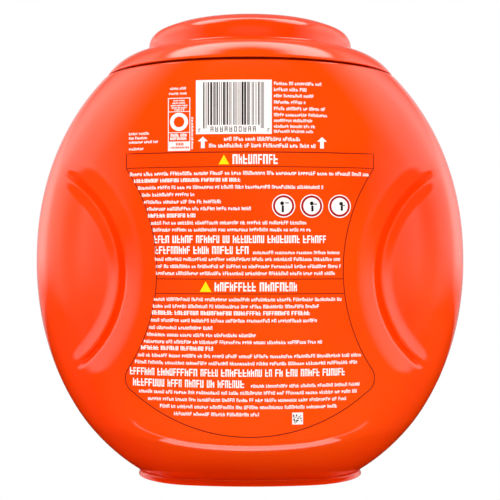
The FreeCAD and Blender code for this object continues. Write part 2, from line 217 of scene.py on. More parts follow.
# the tub: one closed skin from the base up, over the shoulder, in at the mouth and down the inside
tubRings = {
    "quarter": 88, "toCrease": 40, "gather": 1.45, "plainShare": 0.44, "roundAt": 230.0,
    "creaseLow": 62.0, "creaseHigh": 164.0, "creaseBlend": 40,
    "lowSteps": ((22.0, 13), (40.0, 18), (52.0, 7)), "fineHigh": 174.0, "fineStep": 1.35,
    "highSteps": 20,
    "shoulder": 219.6, "shoulderWall": 1.8, "edgeRound": 1.0, "edgeTurns": (12, 30, 48, 66, 80, 90),
    "onShoulder": (76.0, 70.0), "underShoulder": (68.0, 72.0),
    "neckRadius": 63.0, "neckWall": 1.6, "neckTop": 229.4, "neckRound": (0.5, 0.15),
    "neckFillet": (1.2, 0.35), "mouthRound": (0.4, 0.1, 0.15, 0.5), "neckMiddles": (5.0, 4.0),
    "baseRecess": 0.9, "baseMargin": 7.0, "baseShares": (0.04, 0.3, 0.6, 0.85, 0.985, 1.0),
    "footHeights": (0.5, 1.0, 1.4, 1.8, 2.2, 2.6), "footTurn": 1.1, "footSide": 0.5,
    "floorWall": 1.8, "innerSteps": ((180.0, 7), (48.0, 44)), "innerFloor": 16,
    "innerShares": (0.8, 0.5, 0.2, 0.04), "innerWide": 50, "innerDeep": 30,
}


def creaseShare(z):
    shape = gripShape
    low, high = tubRings["creaseLow"], tubRings["creaseHigh"]
    held = min(high, max(low, z))
    x = shape["across"] - math.sqrt(shape["radius"] ** 2 - (held - shape["height"]) ** 2)
    share = shareAcross(x, sideReach(held), panelReach(held))
    away = smooth(max(low - z, z - high) / tubRings["creaseBlend"])
    return share + (tubRings["plainShare"] - share) * away


def columnShares(z):
    near = creaseShare(z)
    before, total, gather = tubRings["toCrease"], tubRings["quarter"], tubRings["gather"]
    shares = []
    for k in range(total + 1):
        if k <= before:
            shares.append(near * (1 - (1 - k / before) ** gather))
        else:
            shares.append(near + (1 - near) * ((k - before) / (total - before)) ** gather)
    return shares


def aroundQuarters(quarter):    # a quarter of (x, depth, z), from the panel's middle to the side, mirrored
    right = [(x, -y, z) for x, y, z in quarter]
    back = [(x, y, z) for x, y, z in reversed(quarter[:-1])]
    half = right + back
    return half + [(-x, y, z) for x, y, z in reversed(half[1:-1])]


def bellyRing(z, inset=0.0):
    width = sideReach(z) - inset * steepness(sideReach, z)
    plain = panelReach(z) - inset * steepness(panelReach, z)
    quarter = []
    for share in columnShares(z):
        x = placeAcross(share, width, plain)
        quarter.append((x, surfaceDepth(x, z, inset), z))
    return aroundQuarters(quarter)


def plainRing(z, width, depth):
    across = [placeAcross(share, width, depth) for share in columnShares(z)]
    return aroundQuarters([(x, depthAt(x, width, depth), z) for x in across])


def roundRing(z, wide, deep=None):
    deep = deep or wide
    quarter = []
    for share in columnShares(tubRings["roundAt"]):
        turn = share * math.pi / 2
        quarter.append((wide * math.sin(turn), deep * math.cos(turn), z))
    return aroundQuarters(quarter)


def steps(low, high, count):
    return [low + (high - low) * k / count for k in range(count + 1)]


def stepsThrough(start, stops):
    levels = [start]
    for stop, count in stops:
        levels += steps(levels[-1], stop, count)[1:]
    return levels


def growRings(mesh, rings):
    column = mesh.verts.layers.int.new("column")
    first = bmesh.ops.create_circle(mesh, segments=len(rings[0]), radius=1.0)["verts"]
    for k, vert in enumerate(first):
        vert[column] = k
        vert.co = rings[0][k]
    rim = list(mesh.edges)
    last = first
    for ring in rings[1:]:
        grown = bmesh.ops.extrude_edge_only(mesh, edges=rim)["geom"]
        last = {item for item in grown if isinstance(item, bmesh.types.BMVert)}
        rim = [item for item in grown
               if isinstance(item, bmesh.types.BMEdge) and set(item.verts) <= last]
        for vert in last:
            vert.co = ring[vert[column]]
    for pole in (list(first), list(last)):
        centre = sum((vert.co for vert in pole), Vector()) / len(pole)
        bmesh.ops.pointmerge(mesh, verts=pole, merge_co=centre)


def shoulderRings():
    bend, top = tubRings["edgeRound"], tubRings["shoulder"]
    rings = []
    for turn in tubRings["edgeTurns"]:
        z = top - bend + bend * math.sin(math.radians(turn))
        inward = bend * (1 - math.cos(math.radians(turn)))
        rings.append(plainRing(z, sideReach(z) - inward, panelReach(z) - inward))
    return rings


def buildTub(material):
    sizes = tubRings
    foot, margin = belly["footHeight"], tubRings["baseMargin"]
    footWide, footDeep = belly["footWidth"] / 2, belly["footDepth"] / 2
    wide, deep = footWide - margin, footDeep - margin
    rings = [roundRing(sizes["baseRecess"], wide * share, deep * share)
             for share in sizes["baseShares"]]
    rings.append(roundRing(0.35, wide + 0.05, deep + 0.05))
    rings.append(roundRing(0.0, wide + 0.5, deep + 0.5))
    for inward, z in ((0.4, 0.0), (0.1, 0.05), (0.0, 0.2)):
        rings.append(plainRing(z, footWide - inward, footDeep - inward))
    for z in sizes["footHeights"]:
        share = smooth(z / foot * sizes["footTurn"])
        width = footWide + (sideReach(foot) - footWide) * share * sizes["footSide"]
        depth = footDeep + (belly["footWaist"] - footDeep) * share
        rings.append(plainRing(z, width, depth))
    heights = stepsThrough(foot, sizes["lowSteps"])
    count = round((sizes["fineHigh"] - heights[-1]) / sizes["fineStep"])
    heights += steps(heights[-1], sizes["fineHigh"], count)[1:]
    heights += steps(sizes["fineHigh"], sizes["shoulder"] - sizes["edgeRound"], sizes["highSteps"])[1:]
    rings += [bellyRing(z) for z in heights]
    rings += shoulderRings()
    radius, inner = sizes["neckRadius"], sizes["neckRadius"] - sizes["neckWall"]
    seat, top = sizes["shoulder"], sizes["neckTop"]
    under = seat - sizes["shoulderWall"]
    bend, near = sizes["neckRound"]
    fillet, hollow = sizes["neckFillet"]
    lift, low, out, wider = sizes["mouthRound"]
    outside, inside = sizes["neckMiddles"]
    # in over the shoulder, up the neck, over its rim, down inside it and out under the shoulder
    rings += [roundRing(seat, reach) for reach in sizes["onShoulder"]]
    for z, reach in (
            (seat, radius + fillet), (seat + hollow, radius + hollow), (seat + fillet, radius),
            (seat + outside, radius), (top - bend, radius), (top - near, radius - near),
            (top, radius - bend), (top, inner + bend), (top - near, inner + near),
            (top - bend, inner), (seat + inside, inner), (under + lift, inner),
            (under + low, inner + out), (under, inner + wider)):
        rings.append(roundRing(z, reach))
    rings += [roundRing(under, reach) for reach in sizes["underShoulder"]]
    low = sizes["baseRecess"] + sizes["floorWall"]
    innerHeights = stepsThrough(under, sizes["innerSteps"] + ((low, sizes["innerFloor"]),))
    rings += [bellyRing(z, belly["wall"]) for z in innerHeights]
    rings += [roundRing(low, sizes["innerWide"] * share, sizes["innerDeep"] * share)
              for share in sizes["innerShares"]]
    mesh = bmesh.new()
    growRings(mesh, rings)
    bmesh.ops.remove_doubles(mesh, verts=mesh.verts, dist=0.0005)
    bmesh.ops.dissolve_degenerate(mesh, edges=mesh.edges, dist=0.0005)
    addThreads(mesh, tubRings["neckRadius"], threadSizes["reach"],
               tubRings["shoulder"] + threadSizes["start"])
    bmesh.ops.recalc_face_normals(mesh, faces=mesh.faces)
    piece = toPiece(mesh, "tubShell", material, "tub", 38)
    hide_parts("tub", "tub_neck")
    return piece


threadSizes = {
    "lidRadius": 65.0, "reach": 1.5, "root": 2.2, "crest": 1.2, "sink": 0.4,
    "lead": 18.0, "count": 4, "arc": 55.0, "start": 4.6, "steps": 20,
}


def addThreads(mesh, radius, reach, low):
    sizes = threadSizes
    side = 1 if reach > 0 else -1
    corners = [(radius - side * sizes["sink"], low - sizes["root"] / 2),
               (radius + reach, low - sizes["crest"] / 2),
               (radius + reach, low + sizes["crest"] / 2),
               (radius - side * sizes["sink"], low + sizes["root"] / 2)]
    for k in range(sizes["count"]):
        verts = [mesh.verts.new((x, 0, z)) for x, z in corners]
        face = bmesh.ops.contextual_create(mesh, geom=verts)["faces"][0]
        bmesh.ops.rotate(mesh, cent=(0, 0, 0), verts=verts,
                         matrix=Matrix.Rotation(2 * math.pi * k / sizes["count"], 3, "Z"))
        rise = sizes["lead"] * sizes["arc"] / 360 / sizes["steps"]
        bmesh.ops.spin(mesh, geom=[face], cent=(0, 0, 0), axis=(0, 0, 1), dvec=(0, 0, rise),
                       angle=math.radians(sizes["arc"]), steps=sizes["steps"], use_duplicate=False)


# polypropylene, injection and blow moulded: bright orange through and through, glossy, with a faint ripple
# from the flow; its colour carries painted shade: paler and yellower on the flat panels, from this depth
# on, darker on the rounded sides
plasticLook = {
    "deep": "#FF3C00", "pale": "#FF4C00", "cloud": 9.0, "panelFrom": 0.05, "panelTo": 0.078,
    "paintedSideShade": -0.16, "paintedPanelLight": 0.2, "ior": 1.49, "glossiest": 0.11, "dullest": 0.16,
    "ripple": 0.02, "rippleDepth": 0.0005, "rippleScale": 62.5, "detail": 2.0,
}


def makePlastic(name, look):
    material, tree = newMaterial(name)
    place = addNode(tree, "ShaderNodeTexCoord")
    cloud = addNode(tree, "ShaderNodeTexNoise", {
        "Vector": place.outputs["Object"], "Scale": look["cloud"], "Detail": look["detail"]})
    parts = addNode(tree, "ShaderNodeSeparateXYZ", {"Vector": place.outputs["Object"]})
    depth = addNode(tree, "ShaderNodeMath", {0: parts.outputs["Y"]}, operation="ABSOLUTE")
    # painted shade: by depth from the axis, the flat panels are painted lighter and the rounded sides
    # darker
    paintedFacingShade = addNode(tree, "ShaderNodeMapRange", {
        "Value": depth.outputs[0], "From Min": look["panelFrom"], "From Max": look["panelTo"],
        "To Min": look["paintedSideShade"], "To Max": look["paintedPanelLight"]})
    shade = addNode(tree, "ShaderNodeMath", {0: cloud.outputs["Fac"], 1: paintedFacingShade.outputs["Result"]},
                    operation="ADD")
    colour = colourBlend(tree, shade.outputs[0], look["deep"], look["pale"])
    ripple = addNode(tree, "ShaderNodeTexNoise", {
        "Vector": place.outputs["Object"], "Scale": look["rippleScale"], "Detail": look["detail"]})
    bump = addNode(tree, "ShaderNodeBump", {
        "Height": ripple.outputs["Fac"], "Strength": look["ripple"], "Distance": look["rippleDepth"]})
    spread = addNode(tree, "ShaderNodeMapRange", {
        "Value": ripple.outputs["Fac"], "From Min": noiseLow, "From Max": noiseHigh,
        "To Min": look["glossiest"], "To Max": look["dullest"]})
    shader = addNode(tree, "ShaderNodeBsdfPrincipled", {
        "Base Color": colour, "Roughness": spread.outputs["Result"], "IOR": look["ior"],
        "Normal": bump.outputs["Normal"]})
    finishMaterial(tree, shader)
    return material


# polyethylene foam sheet, punched into a ring: matt white with fine pores, their pits painted darker as
# painted shade
foamLook = {"paintedPoreShade": "#DAD8D2", "skin": "#F2F1EC", "pores": 1500.0, "relief": 0.3, "depth": 0.0003,
            "roughness": 0.75}


def makeFoam(look):
    material, tree = newMaterial("PunchedPolyethyleneFoam")
    place = addNode(tree, "ShaderNodeTexCoord")
    pores = addNode(tree, "ShaderNodeTexVoronoi", {
        "Vector": place.outputs["Object"], "Scale": look["pores"]})
    bump = addNode(tree, "ShaderNodeBump", {
        "Height": pores.outputs["Distance"], "Strength": look["relief"], "Distance": look["depth"]})
    # painted shade: the sunken pits of the bump get the darker colour
    colour = colourBlend(tree, pores.outputs["Distance"], look["paintedPoreShade"], look["skin"])
    shader = addNode(tree, "ShaderNodeBsdfPrincipled", {
        "Base Color": colour, "Roughness": look["roughness"], "Normal": bump.outputs["Normal"]})
    finishMaterial(tree, shader)
    return material


# screen printing ink on polypropylene: thin and even, a little less glossy than the plastic
inkLook = {"grain": 700.0, "detail": 3.0, "roughness": 0.35, "ior": 1.3}


def makeInk(name, light, dark):
    material, tree = newMaterial(name)
    place = addNode(tree, "ShaderNodeTexCoord")
    grain = addNode(tree, "ShaderNodeTexNoise", {
        "Vector": place.outputs["Object"], "Scale": inkLook["grain"], "Detail": inkLook["detail"]})
    colour = colourBlend(tree, grain.outputs["Fac"], dark, light)
    shader = addNode(tree, "ShaderNodeBsdfPrincipled", {
        "Base Color": colour, "Roughness": inkLook["roughness"], "IOR": inkLook["ior"]})
    finishMaterial(tree, shader)
    return material


tubPlastic = makePlastic("MouldedPolypropylene", plasticLook)
lidPlastic = makePlastic("MouldedLidPolypropylene", plasticLook)
whiteInk = makeInk("ScreenPrintWhite", "#FFF8F4", "#FFF2EC")
blackInk = makeInk("ScreenPrintBlack", "#161616", "#0C0C0C")
darkRedInk = makeInk("ScreenPrintDarkRed", "#8A1200", "#780E00")
redInk = makeInk("ScreenPrintRed", "#B5121B", "#A30E17")
orangeInk = makeInk("ScreenPrintOrange", "#FF4A00", "#F64200")
yellowInk = makeInk("ScreenPrintYellow", "#FFE600", "#FADD00")
print("materials made")

buildTub(tubPlastic)
print("tub made")

# the lid: one closed profile turned about the tub's axis
lidShape = {
    "edge": 220.6, "radius": 79.4, "wall": 1.5, "skirt": 0.6, "domeRadius": 31.5, "domeRise": 12.7,
    "discRadius": 57.4, "fillet": 1.2, "filletBow": 1.3, "draft": 0.8, "discWall": 2.9,
    "bendRadius": 8.6, "bendInset": 4.6, "bendRise": 7.5,
    "crownRadius": 50.7, "crownInset": 20.9, "crownRise": 5.5, "crown": 0.4,
    "crownShares": (0.8, 0.55, 0.3, 0.1), "socketWall": 1.6, "seatWidth": 4.6, "seat": 230.8,
    "edgeRound": 0.3, "socketRound": 0.4, "turns": 256,
    "domeSteps": 26, "filletSteps": 6, "bendSteps": 12, "crownSteps": 14, "underSteps": 6,
}


def arcPoints(start, end, radius, bulge, count):    # bulge 1 bows away from the axis, -1 towards it
    a, b = Vector(start), Vector(end)
    half = (b - a) / 2
    off = math.sqrt(max(0.0, radius ** 2 - half.length_squared))
    side = Vector((-half.y, half.x)).normalized() * bulge
    centre = a + half + side * off
    first, last = a - centre, b - centre
    sweep = first.angle_signed(last)
    turned = []
    for k in range(1, count + 1):
        share = k / count
        turn = -sweep * share
        turned.append((centre.x + first.x * math.cos(turn) - first.y * math.sin(turn),
                       centre.y + first.x * math.sin(turn) + first.y * math.cos(turn)))
    return turned


def lidProfile():
    s = lidShape
    edge, radius, wall = s["edge"], s["radius"], s["wall"]
    skirtTop = edge + s["skirt"]
    domeTop = skirtTop + s["domeRise"]
    domeIn = s["discRadius"] + s["fillet"]
    rim = s["discRadius"] - s["draft"]
    discEdge = domeTop + s["fillet"] + s["discWall"]
    bendIn, bendTop = rim - s["bendInset"], discEdge + s["bendRise"]
    crownIn, crownTop = bendIn - s["crownInset"], bendTop + s["crownRise"]
    top = crownTop + s["crown"]
    socket = threadSizes["lidRadius"]
    socketOut = socket + s["socketWall"]
    bend, mouth = s["edgeRound"], s["socketRound"]
    line = [(radius - 0.35, edge), (radius - 0.1, edge + 0.08), (radius, edge + bend),
            (radius, skirtTop)]
    dome = arcPoints(line[-1], (domeIn, domeTop), s["domeRadius"], 1, s["domeSteps"])
    line += dome
    line += arcPoints(line[-1], (s["discRadius"], domeTop + s["fillet"]), s["fillet"] * s["filletBow"],
                      -1, s["filletSteps"])
    line += [(s["discRadius"] - s["draft"] / 2, (domeTop + s["fillet"] + discEdge) / 2),
             (rim, discEdge)]
    line += arcPoints(line[-1], (bendIn, bendTop), s["bendRadius"], 1, s["bendSteps"])
    line += arcPoints(line[-1], (crownIn, crownTop), s["crownRadius"], 1, s["crownSteps"])
    for share in s["crownShares"]:
        line.append((crownIn * share, crownTop + s["crown"] * (1 - share ** 2)))
    line += [(0.0, top), (0.0, top - wall), (crownIn * 0.5, crownTop + s["crown"] * 0.75 - wall)]
    line += [(crownIn, crownTop - wall)]
    line += arcPoints(line[-1], (bendIn - wall / 2, bendTop - wall), s["crownRadius"], -1,
                      s["underSteps"])
    line += arcPoints(line[-1], (rim - wall, discEdge), s["bendRadius"], -1, s["underSteps"])
    line += [(s["discRadius"] - wall, domeTop - wall), (socket - s["seatWidth"], domeTop - wall * 1.2),
             (socket - s["seatWidth"], s["seat"]), (socket, s["seat"]), (socket, edge + mouth),
             (socket + mouth, edge), (socketOut - bend, edge), (socketOut, edge + bend)]
    under = []
    for (x0, z0), (x1, z1) in zip(dome, dome[1:]):
        away = Vector((z0 - z1, x1 - x0)).normalized() * wall
        under.append(((x0 + x1) / 2 + away.x, (z0 + z1) / 2 + away.y))
    line += [spot for spot in reversed(under) if spot[0] > socketOut and spot[1] > edge + 0.6]
    line += [(radius - wall, edge + bend), (radius - wall + bend, edge)]
    return line


def buildLid(material):
    mesh = bmesh.new()
    line = lidProfile()
    verts = [mesh.verts.new((x, 0, z)) for x, z in line]
    edges = [mesh.edges.new((verts[k], verts[(k + 1) % len(verts)])) for k in range(len(verts))]
    crown = [k for k, spot in enumerate(line) if spot[0] == 0.0]
    bmesh.ops.delete(mesh, geom=[edges[crown[0]]], context="EDGES_FACES")
    bmesh.ops.spin(mesh, geom=mesh.verts[:] + mesh.edges[:], cent=(0, 0, 0), axis=(0, 0, 1),
                   angle=2 * math.pi, steps=lidShape["turns"], use_merge=True, use_duplicate=False)
    bmesh.ops.remove_doubles(mesh, verts=mesh.verts, dist=0.001)
    addThreads(mesh, threadSizes["lidRadius"], -threadSizes["reach"],
               tubRings["shoulder"] + threadSizes["start"] - threadSizes["lead"] / threadSizes["count"] / 2)
    bmesh.ops.recalc_face_normals(mesh, faces=mesh.faces)
    piece = toPiece(mesh, "lidShell", material, "lid", 38)
    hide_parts("lid")
    return piece


buildLid(lidPlastic)
print("lid made")

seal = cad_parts["seal_ring"]
seal.data.materials.clear()
seal.data.materials.append(makeFoam(foamLook))

# the print: thin ink on the panel, placed by the photograph's own frame
view = {"middle": 250.0, "level": 125.0, "away": 640.0, "pixels": 1136.0, "sunk": 82.0}
inkFoot = -0.03
inkSteps = {"disc": (4, 176, 16), "ring": (0, 360, 32), "blockReach": 3, "peakCorner": 0.03}
# each print has dice of its own, so that a change to one leaves the others as they are
seeds = {"above": 11, "marks": 5, "below": 23, "code": 41, "colours": 8}


def printX(px):
    x = 0.0
    for _ in range(6):
        reach = view["away"] - math.sqrt(belly["panelRadius"] ** 2 - x ** 2) + view["sunk"]
        x = (px - view["middle"]) * reach / view["pixels"]
    return x


def printZ(py):
    return view["level"] + (view["middle"] - py) * (view["away"] - belly["panelReach"]) / view["pixels"]


pixelSize = (view["away"] - belly["panelReach"]) / view["pixels"]


def onPanel(x, z, proud, facing=-1):
    return (x, facing * (surfaceDepth(abs(x), z) + proud), z)


# a thin block between two edges, column by column
def inkShape(mesh, across, lows, highs, high):
    sheet = bmesh.ops.create_grid(mesh, x_segments=len(across) - 1, y_segments=1, size=0.5)["verts"]
    faces = list({face for vert in sheet for face in vert.link_faces})
    raised = bmesh.ops.extrude_face_region(mesh, geom=faces, use_keep_orig=True)["geom"]
    top = {item for item in raised if isinstance(item, bmesh.types.BMVert)}
    for vert in list(sheet) + list(top):
        k = round((vert.co.x + 0.5) * (len(across) - 1))
        z = lows[k] + (vert.co.y + 0.5) * (highs[k] - lows[k])
        vert.co = onPanel(across[k], z, high if vert in top else inkFoot)


def inkBlock(mesh, x0, x1, z0, z1, high):
    across = steps(x0, x1, max(1, math.ceil((x1 - x0) / inkSteps["blockReach"])))
    inkShape(mesh, across, [z0] * len(across), [z1] * len(across), high)


# the same, and the shapes after it, given in the photograph's pixels
def seenBlock(mesh, left, top, right, bottom, high):
    inkBlock(mesh, printX(left), printX(right), printZ(bottom), printZ(top), high)


def seenDisc(mesh, middle, level, radius, high):
    x, z, reach = printX(middle), printZ(level), radius * pixelSize
    turns = [math.radians(turn) for turn in steps(*inkSteps["disc"])]
    inkShape(mesh, [x - reach * math.cos(turn) for turn in turns],
             [z - reach * math.sin(turn) for turn in turns],
             [z + reach * math.sin(turn) for turn in turns], high)


def seenRing(mesh, middle, level, radius, half, high):
    x, z, reach = printX(middle), printZ(level), radius * pixelSize
    turns = [math.radians(turn) for turn in steps(*inkSteps["ring"])[:-1]]
    path = [(x + reach * math.cos(turn), z + reach * math.sin(turn)) for turn in turns]
    inkLine(mesh, path, half * pixelSize, high, closed=True)


# a triangle that stands on its base
def seenPeak(mesh, middle, top, bottom, half, high):
    x, reach, z0, z1 = printX(middle), half * pixelSize, printZ(bottom), printZ(top)
    across = [x - reach, x - reach / 2, x, x + reach / 2, x + reach]
    corner, middleHeight = z0 + inkSteps["peakCorner"], (z0 + z1) / 2
    inkShape(mesh, across, [z0] * 5, [corner, middleHeight, z1, middleHeight, corner], high)


def seenFrame(mesh, left, top, right, bottom, wide, high):
    seenBlock(mesh, left, top, right, top + wide, high)
    seenBlock(mesh, left, bottom - wide, right, bottom, high)
    seenBlock(mesh, left, top + wide, left + wide, bottom - wide, high)
    seenBlock(mesh, right - wide, top + wide, right, bottom - wide, high)


def inkLine(mesh, path, half, high, facing=-1, closed=False):
    count = len(path)
    sections = []
    for k, (x, z) in enumerate(path):
        before = path[(k - 1) % count] if closed or k else path[0]
        after = path[(k + 1) % count] if closed or k < count - 1 else path[-1]
        along = Vector((after[0] - before[0], after[1] - before[1])).normalized()
        side = Vector((-along.y, along.x)) * half
        sections.append([
            onPanel(x + side.x, z + side.y, inkFoot, facing),
            onPanel(x - side.x, z - side.y, inkFoot, facing),
            onPanel(x - side.x, z - side.y, high, facing),
            onPanel(x + side.x, z + side.y, high, facing)])
    if closed:
        sections.append(sections[0])
    corner = mesh.verts.layers.int.get("corner") or mesh.verts.layers.int.new("corner")
    verts = [mesh.verts.new(spot) for spot in sections[0]]
    for k, vert in enumerate(verts):
        vert[corner] = k
    loop = [mesh.edges.new((verts[k], verts[(k + 1) % 4])) for k in range(4)]
    first = list(verts)
    last = first
    if not closed:
        bmesh.ops.contextual_create(mesh, geom=loop)
    for spots in sections[1:]:
        grown = bmesh.ops.extrude_edge_only(mesh, edges=loop)["geom"]
        last = [item for item in grown if isinstance(item, bmesh.types.BMVert)]
        loop = [item for item in grown
                if isinstance(item, bmesh.types.BMEdge) and set(item.verts) <= set(last)]
        for vert in last:
            vert.co = spots[vert[corner]]
    if closed:
        bmesh.ops.remove_doubles(mesh, verts=first + list(last), dist=0.0001)
    else:
        bmesh.ops.contextual_create(mesh, geom=loop)


def bentPath(start, end, radius, bulge, count=24):
    return [start] + arcPoints(start, end, radius, bulge, count)


outline = {
    "half": 62.5, "top": 173.5, "side": 166.0, "waist": 47.2,
    "hip": 61.5, "hipHeight": 65.0, "hipInset": 3.0, "hipFall": 12.0, "hipRound": 8.0,
    "bottom": 32.3, "bottomRound": 92.3, "line": 0.23, "ruleShare": 0.8, "proud": 0.05,
    "rules": (166.6, 279.2, 294.0),
    "topSteps": 36, "waistSteps": 40, "hipSteps": 10, "bottomSteps": 30, "ruleSteps": 30,
}


def rightSide():
    s = outline
    inset = s["half"] - s["waist"]
    bend = (((s["side"] - s["hipHeight"]) / 2) ** 2 + inset ** 2) / 2 / inset
    low = (s["hip"] - s["hipInset"], s["hipHeight"] - s["hipFall"])
    path = [(s["half"], s["top"])]
    path += bentPath((s["half"], s["side"]), (s["hip"], s["hipHeight"]), bend, 1, s["waistSteps"])
    path += arcPoints((s["hip"], s["hipHeight"]), low, s["hipRound"], -1, s["hipSteps"])
    path += arcPoints(low, (0.0, s["bottom"]), s["bottomRound"], -1, s["bottomSteps"])
    return path


def outlinePath():
    right = rightSide()
    left = [(-x, z) for x, z in reversed(right[:-1])]
    across = steps(-outline["half"], outline["half"], outline["topSteps"])[1:-1]
    return right + left + [(x, outline["top"]) for x in across]


def widthAt(z):
    reach = 0.0
    path = rightSide()
    for (x0, z0), (x1, z1) in zip(path, path[1:]):
        if min(z0, z1) <= z <= max(z0, z1) and z0 != z1:
            reach = max(reach, x0 + (x1 - x0) * (z - z0) / (z1 - z0))
    return reach


def buildOutline(name, facing, heights, replaced):
    mesh = bmesh.new()
    inkLine(mesh, outlinePath(), outline["line"], outline["proud"], facing=facing, closed=True)
    for z in heights:
        half = widthAt(z)
        rule = [(x, z) for x in steps(-half, half, outline["ruleSteps"])]
        inkLine(mesh, rule, outline["line"] * outline["ruleShare"], outline["proud"], facing=facing)
    bmesh.ops.recalc_face_normals(mesh, faces=mesh.faces)
    piece = toPiece(mesh, name, darkRedInk, "tub")
    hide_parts(replaced)


buildOutline("backOutline", -1, [printZ(rule) for rule in outline["rules"]], "back_print_film")
buildOutline("frontOutline", 1, [], "front_print_film")
print("outlines made")

# rows of blocks that spell nothing: top, bottom, left and right in the photograph's pixels, and the weight
# of the strokes, an index into the glyphs' triples
rowsAbove = [
    (81.5, 84.8, 274, 322, 0), (87.5, 91.0, 274, 307, 0), (94.0, 97.2, 274, 314, 0),
    (100.2, 103.6, 274, 306, 0), (106.6, 110.0, 274, 326, 0), (112.9, 116.2, 274, 328, 0),
    (118.8, 121.8, 274, 313, 0), (124.4, 127.6, 274, 315, 0), (129.6, 132.6, 274, 313, 0),
    (86.0, 88.6, 170, 187, 0), (91.0, 93.6, 169, 187, 0), (130.2, 133.0, 129, 150, 0),
    (134.6, 137.4, 129, 147, 0), (138.8, 141.6, 129, 158, 0), (145.6, 148.4, 129, 144, 0),
    (136.8, 140.8, 224, 300, 0), (143.4, 147.4, 209, 316, 0),
]
rowsBelow = [
    (154.2, 164.0, 232.5, 281.5, 2), (171.0, 174.8, 130, 369, 0), (177.8, 181.6, 134, 242, 1),
    (185.0, 188.6, 138, 324, 0), (192.2, 195.8, 142, 197, 0), (199.6, 203.2, 144, 221, 0),
    (206.6, 210.2, 147, 251, 0), (213.2, 217.2, 148, 196, 1), (220.8, 224.4, 151, 307, 0),
    (227.8, 231.4, 153, 311, 0), (235.4, 243.0, 154, 328.5, 2), (246.2, 254.0, 155, 250, 2),
    (250.8, 254.2, 253, 340, 0), (257.4, 261.0, 155, 340, 0), (264.6, 268.2, 156, 341, 0),
    (271.6, 275.2, 156, 337, 0), (282.4, 291.4, 214.5, 299.5, 2), (297.8, 301.4, 154, 342, 0),
    (304.8, 308.4, 153, 319, 0), (311.2, 315.4, 152, 311, 1), (319.0, 322.6, 151, 318, 0),
    (326.4, 330.0, 149, 213, 0), (333.6, 337.2, 147, 257, 0), (340.6, 344.2, 144, 323, 0),
    (346.8, 351.0, 141, 213, 1), (354.6, 358.2, 138, 361, 0), (361.8, 365.4, 135, 357, 0),
    (369.4, 376.8, 130, 349.5, 2), (380.4, 388.0, 133, 248, 2), (384.4, 387.8, 251, 360, 0),
    (391.2, 394.8, 139, 358, 0), (398.4, 402.0, 148, 346, 0), (405.6, 409.2, 160, 338, 0),
    (412.8, 416.4, 174, 259, 0),
]
glyphs = {
    "widths": (0.52, 0.62, 0.44), "stem": (0.34, 0.4, 0.36), "gap": (0.14, 0.12, 0.1),
    "word": (0.42, 0.4, 0.34), "bar": (0.2, 0.17, 0.17), "vary": (0.8, 1.2), "capitals": 0.25,
    "heights": (0.78, 0.78, 0.78, 1.0), "short": 0.78, "shortest": 0.3, "proud": 0.05,
}


def greekRow(mesh, row, dice):
    top, bottom, left, right, weight = row
    z0, z1 = printZ(bottom), printZ(top)
    x, end = printX(left), printX(right)
    tall = z1 - z0
    bar = tall * glyphs["bar"][weight]
    letters = dice.randint(3, 9)
    while x < end - tall * glyphs["shortest"]:
        wide = min(tall * glyphs["widths"][weight] * dice.uniform(*glyphs["vary"]), end - x)
        stem = wide * glyphs["stem"][weight]
        capital = weight > 0 or dice.random() < glyphs["capitals"]
        high = z1 if capital else z0 + tall * dice.choice(glyphs["heights"])
        kind = dice.randrange(5)
        strokes = [(x, x + stem, z0, high)]
        if kind < 3:
            reach = z0 + (high - z0) * (glyphs["short"] if kind == 2 else 1.0)
            strokes.append((x + wide - stem, x + wide, z0, reach))
        # the bars reach the right edge where no stem stands there
        if kind in (0, 3):
            strokes.append((x + stem, x + wide - (stem if kind == 0 else 0), high - bar, high))
        if kind in (1, 4):
            strokes.append((x + stem, x + wide - (stem if kind == 1 else 0), z0, z0 + bar))
        if kind in (2, 3, 4):
            low = (z0 + high) / 2 - bar / 2
            up = (z0 + high) / 2 + bar / 2
            strokes.append((x + stem, x + wide - (stem if kind == 2 else 0), low, up))
        for first, last, low, up in strokes:
            inkBlock(mesh, first, last, low, up, glyphs["proud"])
        x += wide + tall * glyphs["gap"][weight]
        letters -= 1
        if letters == 0:
            x += tall * glyphs["word"][weight]
            letters = dice.randint(2, 10)


def joinInto(whole, part):
    data = bpy.data.meshes.new("part")
    part.to_mesh(data)
    part.free()
    whole.from_mesh(data)
    bpy.data.meshes.remove(data)


def finishPrint(mesh, name, material):
    bmesh.ops.recalc_face_normals(mesh, faces=mesh.faces)
    return toPiece(mesh, name, material, "tub")


def addRows(whole, rows, seed):
    dice = random.Random(seed)
    for row in rows:
        part = bmesh.new()
        greekRow(part, row, dice)
        joinInto(whole, part)


# small marks beside the rows: a framed box, a strip of upright print, two arrows and a speckled square
marks = {
    "frame": (168.0, 96.8, 190.2, 150.2), "frameLine": 0.75,
    "dividers": (110.4, 131.4), "dividerInset": 0.8, "dividerLine": 0.6,
    "tiny": [(99.0, 173.6, 184.2), (101.5, 172.4, 185.4), (103.9, 170.8, 187.4), (106.2, 171.4, 186.6),
             (108.2, 174.2, 183.6)],
    "tinyWide": (0.5, 1.3), "tinyTall": (1.1, 1.5), "tinyGap": (0.35, 0.35, 0.9),
    "ring": (179.0, 121.0, 7.3, 1.9),
    "bold": [(132.8, 135.9, 170.6, 187.4, 1), (136.3, 139.2, 170.2, 187.8, 1)],
    "field": (169.0, 140.8, 189.4, 149.4), "strip": (191.4, 193.4, 116.5, 149.0),
    "stripTall": (0.5, 1.4), "stripShort": (0.0, 0.5), "stripGap": (0.35, 0.35, 0.8),
    "arrows": [(202.8, 136.3, 147.8), (322.0, 136.3, 147.8)],
    "arrowHead": 4.6, "arrowHalf": 5.0, "stemHalf": 1.9,
    "discs": [(283.6, 205.8), (311.7, 205.8), (339.6, 205.8)],
    "discRadius": 11.7, "bandRadius": 9.6, "bandHalf": 1.1,
    "square": (292.2, 413.0, 303.0, 425.0), "proud": 0.05, "over": 0.08,
}


